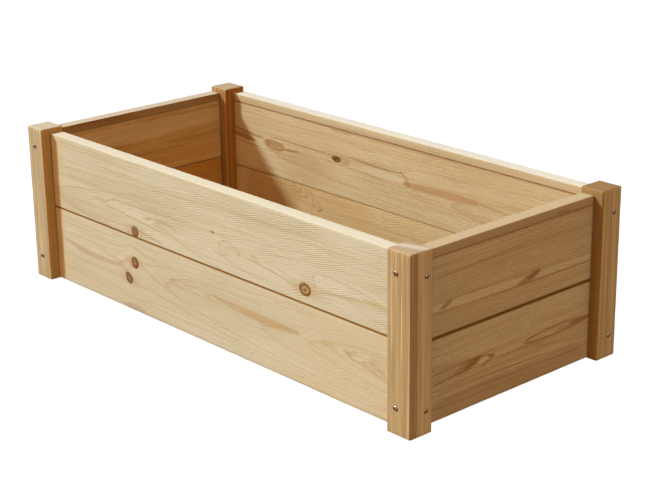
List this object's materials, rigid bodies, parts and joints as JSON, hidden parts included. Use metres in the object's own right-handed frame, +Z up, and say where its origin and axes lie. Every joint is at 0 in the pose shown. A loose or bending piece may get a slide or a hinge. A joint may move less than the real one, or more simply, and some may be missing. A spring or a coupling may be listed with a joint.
{
  "type": "wooden raised garden bed",
  "caption": "Empty rectangular pine raised bed: corner posts with two boards stacked on each side, held by screws, open at the top and the bottom.",
  "frame": {"origin": "under the middle of the bed, at the level of the post feet", "axes": "+X along the length, from the left end to the right end; +Y from the front side to the back side; +Z up"},
  "size_m": [1.0046, 0.4846, 0.292],
  "materials": {
    "post_pine": "planed pine, warm brown, satin",
    "front_board_pine": "planed pale pine with knots, matt",
    "back_board_pine": "planed pine with a brown streak and a knot, matt",
    "left_board_pine": "planed pine, matt",
    "right_board_pine": "planed pine with brown streaks, matt",
    "screw_steel": "plated, bright"
  },
  "bodies": {
    "root": {"post_front_left": "post_pine", "post_front_right": "post_pine", "post_back_left": "post_pine", "post_back_right": "post_pine", "board_front_upper": "front_board_pine", "board_front_lower": "front_board_pine", "board_back_upper": "back_board_pine", "board_back_lower": "back_board_pine", "board_left_upper": "left_board_pine", "board_left_lower": "left_board_pine", "board_right_upper": "right_board_pine", "board_right_lower": "right_board_pine", "screw_front_left_post_front_upper": "screw_steel", "screw_front_left_post_front_lower": "screw_steel", "screw_front_left_post_left_upper": "screw_steel", "screw_front_left_post_left_lower": "screw_steel", "screw_front_right_post_front_upper": "screw_steel", "screw_front_right_post_front_lower": "screw_steel", "screw_front_right_post_right_upper": "screw_steel", "screw_front_right_post_right_lower": "screw_steel", "screw_back_left_post_back_upper": "screw_steel", "screw_back_left_post_back_lower": "screw_steel", "screw_back_left_post_left_upper": "screw_steel", "screw_back_left_post_left_lower": "screw_steel", "screw_back_right_post_back_upper": "screw_steel", "screw_back_right_post_back_lower": "screw_steel", "screw_back_right_post_right_upper": "screw_steel", "screw_back_right_post_right_lower": "screw_steel"}
  },
  "joints": []
}
